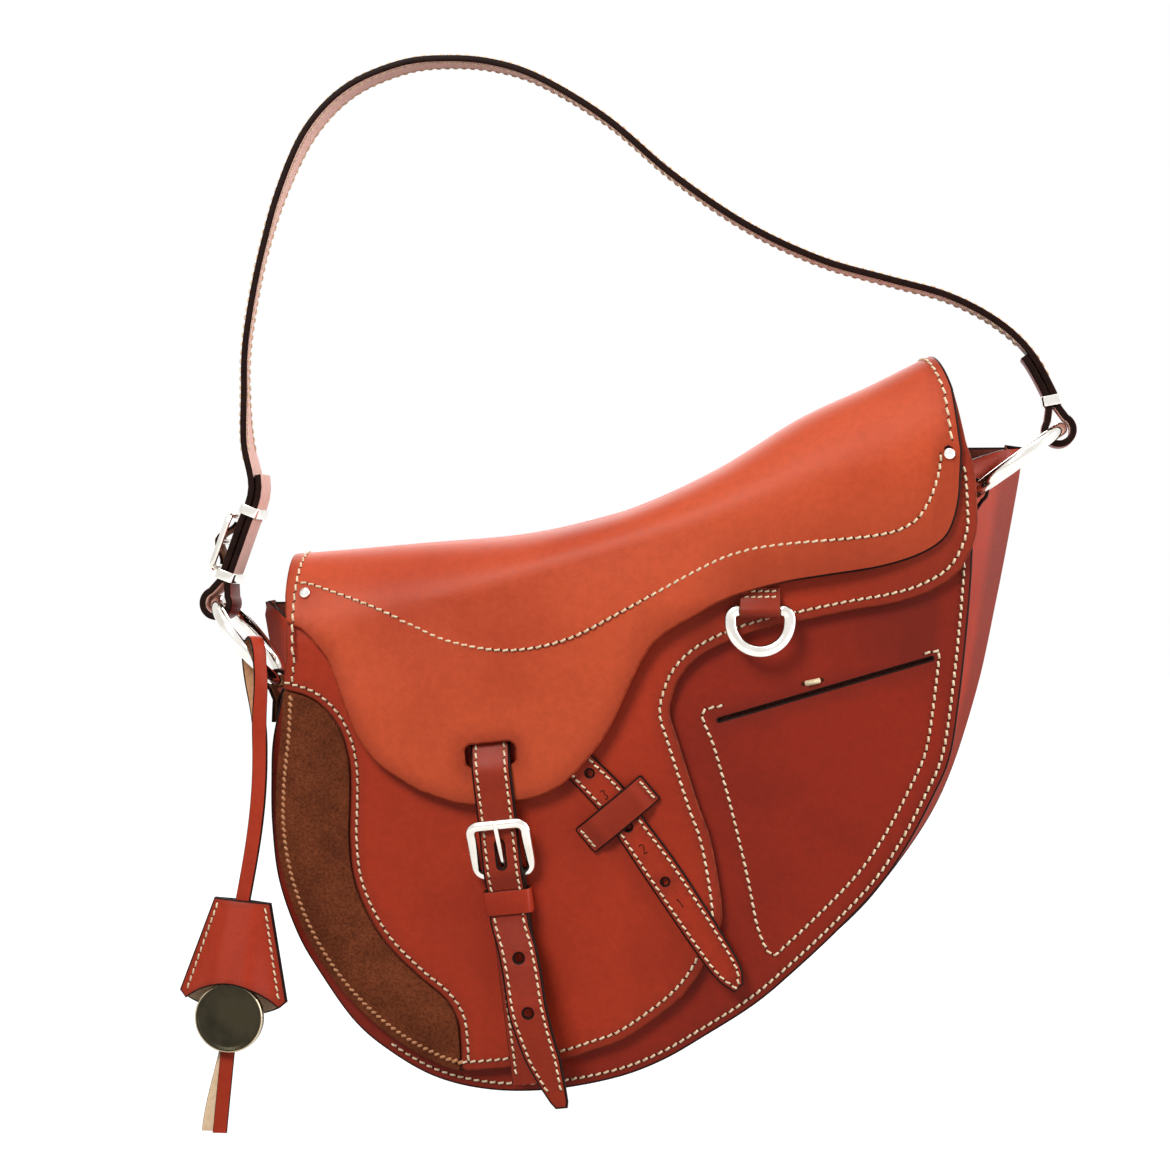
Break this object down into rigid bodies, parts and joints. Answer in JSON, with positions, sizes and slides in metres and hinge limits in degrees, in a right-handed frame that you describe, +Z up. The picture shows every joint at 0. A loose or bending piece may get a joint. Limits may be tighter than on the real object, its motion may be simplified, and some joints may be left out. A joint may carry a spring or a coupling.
{
  "type": "shoulder bag",
  "caption": "Saddle-shaped leather shoulder bag hanging from its strap, with a folding lid, a buckled closure, a D-ring, ring-hung strap ends and a leather bell on a lace.",
  "frame": {"origin": "the crown of the shoulder strap, on its outer face and in the middle of its width, from which the bag hangs", "axes": "+X to the right of the bag seen from the front, +Y from the front panel to the back, +Z up"},
  "size_m": [0.3643, 0.0699, 0.4418],
  "materials": {
    "adjuster_buckle": "polished pale nickel plate",
    "adjuster_patch": "smooth semi-gloss leather with dark burnished edges",
    "back_panel": "smooth semi-gloss leather with dark burnished edges",
    "bell_back": "smooth semi-gloss leather with dark burnished edges",
    "bell_front": "smooth semi-gloss leather with dark burnished edges",
    "buckle_frame": "polished pale nickel plate",
    "buckle_strap": "smooth semi-gloss leather with dark burnished edges",
    "buckle_tongue": "polished pale nickel plate",
    "clochette_lace": "smooth lace, natural tan on its inner side",
    "closure_keeper": "smooth semi-gloss leather with dark burnished edges",
    "closure_strap": "smooth semi-gloss leather with dark burnished edges",
    "d_ring": "polished pale nickel plate",
    "d_ring_tab": "smooth semi-gloss leather with dark burnished edges",
    "front_panel": "smooth semi-gloss leather with dark burnished edges",
    "gusset": "smooth semi-gloss leather with dark burnished edges",
    "gusset_tab_left": "smooth semi-gloss leather with dark burnished edges",
    "gusset_tab_right": "smooth semi-gloss leather with dark burnished edges",
    "lid_facing": "smooth semi-gloss leather with dark burnished edges",
    "lid_lining": "thin matte lining leather",
    "medallion": "dark antique bronze, rubbed paler on the rim",
    "medallion_bail": "dark antique bronze, rubbed paler on the rim",
    "ring_left": "polished pale nickel plate",
    "ring_right": "polished pale nickel plate",
    "rivet_left": "polished pale nickel plate",
    "rivet_right": "polished pale nickel plate",
    "seat_and_lobe": "smooth semi-gloss leather with dark burnished edges",
    "shoulder_strap": "smooth semi-gloss leather with dark burnished edges",
    "slip_pocket_lining": "thin matte lining leather",
    "stirrup_keeper": "smooth semi-gloss leather with dark burnished edges",
    "stirrup_strap": "smooth semi-gloss leather with dark burnished edges",
    "strap_band_left_high": "polished pale nickel plate",
    "strap_band_left_low": "polished pale nickel plate",
    "strap_band_right": "polished pale nickel plate",
    "suede_knee_roll": "napped suede"
  },
  "bodies": {
    "strap": {"shoulder_strap": "shoulder_strap", "strap_band_left_low": "strap_band_left_low", "strap_band_left_high": "strap_band_left_high", "strap_band_right": "strap_band_right", "adjuster_buckle": "adjuster_buckle", "adjuster_patch": "adjuster_patch"},
    "bag_body": {"front_panel": "front_panel", "slip_pocket_lining": "slip_pocket_lining", "back_panel": "back_panel", "gusset": "gusset", "buckle_strap": "buckle_strap", "closure_keeper": "closure_keeper", "gusset_tab_left": "gusset_tab_left", "gusset_tab_right": "gusset_tab_right"},
    "lid": {"lid_lining": "lid_lining", "lid_facing": "lid_facing", "suede_knee_roll": "suede_knee_roll", "seat_and_lobe": "seat_and_lobe", "rivet_left": "rivet_left", "rivet_right": "rivet_right", "closure_strap": "closure_strap", "stirrup_strap": "stirrup_strap", "stirrup_keeper": "stirrup_keeper", "d_ring_tab": "d_ring_tab"},
    "d_ring": {"d_ring": "d_ring"},
    "buckle_frame": {"buckle_frame": "buckle_frame"},
    "buckle_tongue": {"buckle_tongue": "buckle_tongue"},
    "ring_left": {"ring_left": "ring_left"},
    "ring_right": {"ring_right": "ring_right"},
    "clochette": {"clochette_lace": "clochette_lace"},
    "bell": {"bell_front": "bell_front", "bell_back": "bell_back"},
    "medallion": {"medallion": "medallion", "medallion_bail": "medallion_bail"}
  },
  "joints": [
    {"name": "bag_swing", "type": "hinge", "parent": "strap", "child": "bag_body", "pos_m": [-0.07089, 0, -0.25749], "axis": [0.965, 0, 0.2621], "range_deg": [-2, 8], "deforming": ["gusset_tab_left", "gusset_tab_right", "clochette_lace"]},
    {"name": "ring_left_turn", "type": "hinge", "parent": "strap", "child": "ring_left", "pos_m": [-0.08394, 0, -0.24078], "axis": [0.788, 0, 0.6157], "continuous": true},
    {"name": "ring_right_turn", "type": "hinge", "parent": "strap", "child": "ring_right", "pos_m": [0.23235, 0, -0.16716], "axis": [0.5948, 0, -0.8039], "continuous": true},
    {"name": "lid_hinge", "type": "hinge", "parent": "bag_body", "child": "lid", "pos_m": [0.05721, 0.0341, -0.2083], "axis": [-0.9573, 0, -0.2891], "range_deg": [0, 70], "deforming": ["closure_strap", "clochette_lace"]},
    {"name": "d_ring_flip", "type": "hinge", "parent": "lid", "child": "d_ring", "pos_m": [0.13016, -0.02821, -0.22748], "axis": [-0.9983, -0.0579, 0], "range_deg": [0, 90]},
    {"name": "buckle_frame_flip", "type": "hinge", "parent": "bag_body", "child": "buckle_frame", "pos_m": [0.02661, -0.0217, -0.33409], "axis": [0.9935, -0.0339, 0.1085], "range_deg": [0, 60], "deforming": ["closure_strap"]},
    {"name": "buckle_tongue_lift", "type": "hinge", "parent": "buckle_frame", "child": "buckle_tongue", "pos_m": [0.02661, -0.0217, -0.33409], "axis": [0.9935, -0.0339, 0.1085], "range_deg": [0, 45], "deforming": ["closure_strap"]},
    {"name": "clochette_swing", "type": "hinge", "parent": "strap", "child": "clochette", "pos_m": [-0.07781, -0.01872, -0.24863], "axis": [1, 0, 0], "range_deg": [-15, 7], "deforming": ["clochette_lace"]},
    {"name": "bell_slide", "type": "slide", "parent": "clochette", "child": "bell", "axis": [0.0995, 0, 0.995], "range_m": [0, 0.005]},
    {"name": "medallion_swing", "type": "hinge", "parent": "clochette", "child": "medallion", "pos_m": [-0.08466, -0.02257, -0.36886], "axis": [-1, 0, 0], "range_deg": [0, 10]}
  ]
}
